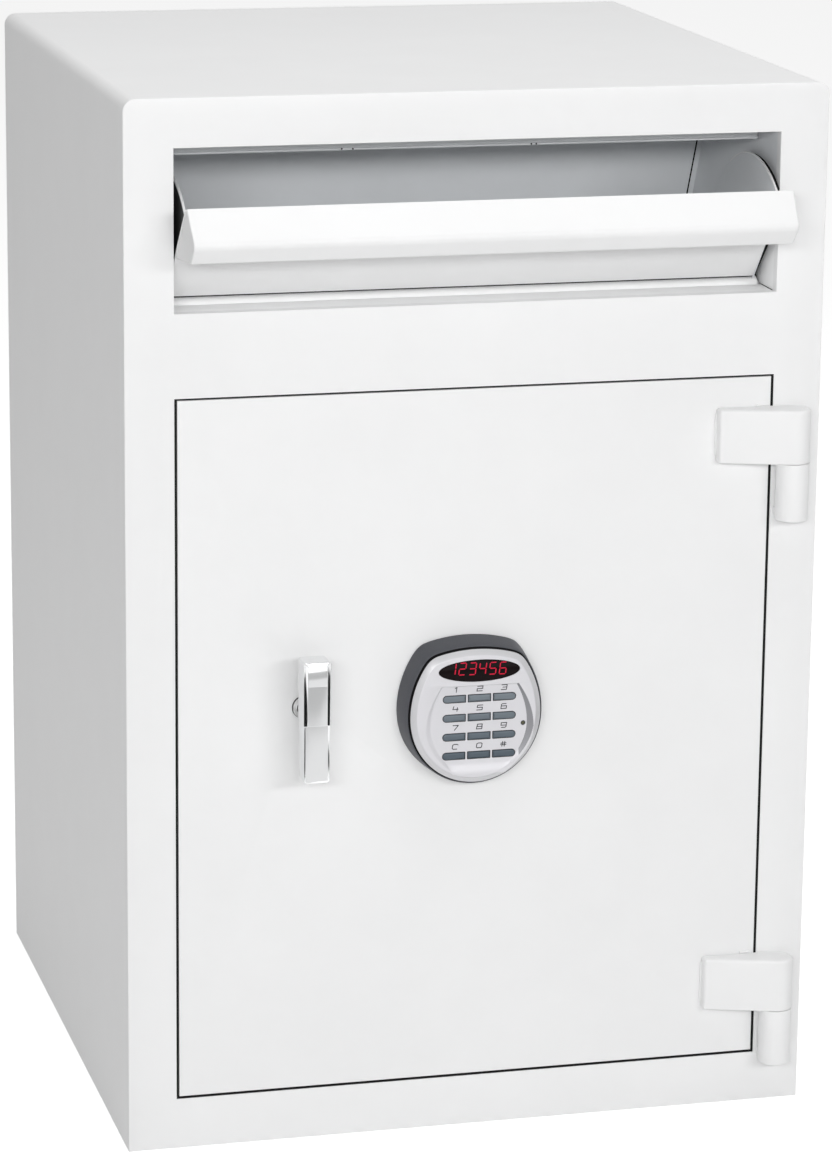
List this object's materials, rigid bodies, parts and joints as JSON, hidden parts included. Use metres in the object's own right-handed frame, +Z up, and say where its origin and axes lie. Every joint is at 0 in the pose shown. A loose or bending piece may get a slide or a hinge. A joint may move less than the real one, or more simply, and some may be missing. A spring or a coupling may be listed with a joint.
{
  "type": "deposit safe",
  "caption": "Steel deposit safe with a tilting drop hopper above a hinged door that has sliding bolts, a lever handle and an electronic keypad.",
  "frame": {"origin": "centre of the cabinet's underside", "axes": "+Z up; the front face looks along -Y; +X is to the right of someone facing the door"},
  "size_m": [0.508, 0.5591, 0.762],
  "materials": {
    "white_paint": "satin powder coat",
    "inner_paint": "satin powder coat on sheet",
    "bare_steel": "ground",
    "zinc_steel": "zinc plated",
    "chrome": "polished",
    "dark_plastic": "fine grain",
    "silver_plastic": "silver lacquer",
    "key_plastic": "satin",
    "black_gloss": "gloss",
    "lamp_plastic": "clear lens",
    "circuit_board": "lacquered"
  },
  "bodies": {
    "cabinet": {"body_wrap": "white_paint", "front_face": "white_paint", "base_plate": "white_paint", "back_plate": "white_paint", "door_rebate": "white_paint", "hopper_sill": "inner_paint", "hopper_cheek_left": "inner_paint", "hopper_cheek_right": "inner_paint", "hopper_header": "inner_paint", "hopper_baffle": "inner_paint", "hopper_rod": "zinc_steel", "upper_hinge_knuckle": "white_paint", "upper_hinge_pin": "bare_steel", "lower_hinge_knuckle": "white_paint", "lower_hinge_pin": "bare_steel"},
    "hopper": {"hopper_panel": "white_paint", "hopper_lip": "white_paint", "hopper_tube": "white_paint", "hopper_floor": "inner_paint", "hopper_side_left": "inner_paint", "hopper_side_right": "inner_paint"},
    "door": {"door_slab": "white_paint", "upper_hinge_leaf": "white_paint", "lower_hinge_leaf": "white_paint", "handle_rosette": "chrome", "bolt_guide_top": "zinc_steel", "bolt_guide_middle": "zinc_steel", "bolt_guide_bottom": "zinc_steel", "hinge_dog_top": "zinc_steel", "hinge_dog_bottom": "zinc_steel", "boltwork_cover": "inner_paint", "lock_case": "zinc_steel", "battery_pack": "dark_plastic", "keypad_base": "dark_plastic", "keypad_board": "circuit_board", "keypad_bezel": "silver_plastic", "display_window": "black_gloss", "status_lamp": "lamp_plastic", "keypad_cable": "dark_plastic"},
    "handle": {"handle_grip": "chrome", "handle_spindle": "bare_steel", "drive_cam": "zinc_steel", "cam_pin": "bare_steel"},
    "boltwork": {"bolt_carrier": "zinc_steel", "locking_bolt_top": "chrome", "locking_bolt_middle": "chrome", "locking_bolt_bottom": "chrome"},
    "lock_bolt": {"lock_bolt": "bare_steel"},
    "key_1": {"key_1": "key_plastic"},
    "key_2": {"key_2": "key_plastic"},
    "key_3": {"key_3": "key_plastic"},
    "key_4": {"key_4": "key_plastic"},
    "key_5": {"key_5": "key_plastic"},
    "key_6": {"key_6": "key_plastic"},
    "key_7": {"key_7": "key_plastic"},
    "key_8": {"key_8": "key_plastic"},
    "key_9": {"key_9": "key_plastic"},
    "key_clear": {"key_clear": "key_plastic"},
    "key_0": {"key_0": "key_plastic"},
    "key_hash": {"key_hash": "key_plastic"}
  },
  "joints": [
    {"name": "door_hinge", "type": "hinge", "parent": "cabinet", "child": "door", "pos_m": [0.2305, -0.2635, 0], "axis": [0, 0, 1], "range_deg": [0, 170]},
    {"name": "hopper_tilt", "type": "hinge", "parent": "cabinet", "child": "hopper", "pos_m": [0, -0.2082, 0.6111], "axis": [1, 0, 0], "range_deg": [-44, 0]},
    {"name": "handle_turn", "type": "hinge", "parent": "door", "child": "handle", "pos_m": [-0.1262, -0.25, 0.326], "axis": [0, 1, 0], "range_deg": [-90, 0]},
    {"name": "bolt_slide", "type": "slide", "parent": "door", "child": "boltwork", "axis": [1, 0, 0], "range_m": [-0.02, 0]},
    {"name": "lock_bolt_slide", "type": "slide", "parent": "door", "child": "lock_bolt", "axis": [1, 0, 0], "range_m": [-0.01, 0]},
    {"name": "key_1_press", "type": "slide", "parent": "door", "child": "key_1", "axis": [0, 1, 0], "range_m": [0, 0.001], "stiffness_N_per_m": 200, "springref_m": -0.0005},
    {"name": "key_2_press", "type": "slide", "parent": "door", "child": "key_2", "axis": [0, 1, 0], "range_m": [0, 0.001], "stiffness_N_per_m": 200, "springref_m": -0.0005},
    {"name": "key_3_press", "type": "slide", "parent": "door", "child": "key_3", "axis": [0, 1, 0], "range_m": [0, 0.001], "stiffness_N_per_m": 200, "springref_m": -0.0005},
    {"name": "key_4_press", "type": "slide", "parent": "door", "child": "key_4", "axis": [0, 1, 0], "range_m": [0, 0.001], "stiffness_N_per_m": 200, "springref_m": -0.0005},
    {"name": "key_5_press", "type": "slide", "parent": "door", "child": "key_5", "axis": [0, 1, 0], "range_m": [0, 0.001], "stiffness_N_per_m": 200, "springref_m": -0.0005},
    {"name": "key_6_press", "type": "slide", "parent": "door", "child": "key_6", "axis": [0, 1, 0], "range_m": [0, 0.001], "stiffness_N_per_m": 200, "springref_m": -0.0005},
    {"name": "key_7_press", "type": "slide", "parent": "door", "child": "key_7", "axis": [0, 1, 0], "range_m": [0, 0.001], "stiffness_N_per_m": 200, "springref_m": -0.0005},
    {"name": "key_8_press", "type": "slide", "parent": "door", "child": "key_8", "axis": [0, 1, 0], "range_m": [0, 0.001], "stiffness_N_per_m": 200, "springref_m": -0.0005},
    {"name": "key_9_press", "type": "slide", "parent": "door", "child": "key_9", "axis": [0, 1, 0], "range_m": [0, 0.001], "stiffness_N_per_m": 200, "springref_m": -0.0005},
    {"name": "key_clear_press", "type": "slide", "parent": "door", "child": "key_clear", "axis": [0, 1, 0], "range_m": [0, 0.001], "stiffness_N_per_m": 200, "springref_m": -0.0005},
    {"name": "key_0_press", "type": "slide", "parent": "door", "child": "key_0", "axis": [0, 1, 0], "range_m": [0, 0.001], "stiffness_N_per_m": 200, "springref_m": -0.0005},
    {"name": "key_hash_press", "type": "slide", "parent": "door", "child": "key_hash", "axis": [0, 1, 0], "range_m": [0, 0.001], "stiffness_N_per_m": 200, "springref_m": -0.0005}
  ],
  "couplings": [
    {"joint": "bolt_slide", "follows": "handle_turn", "m_per_rad": 0.012732},
    {"joint": "lock_bolt_slide", "follows": "handle_turn", "m_per_rad": 0.0063662}
  ]
}
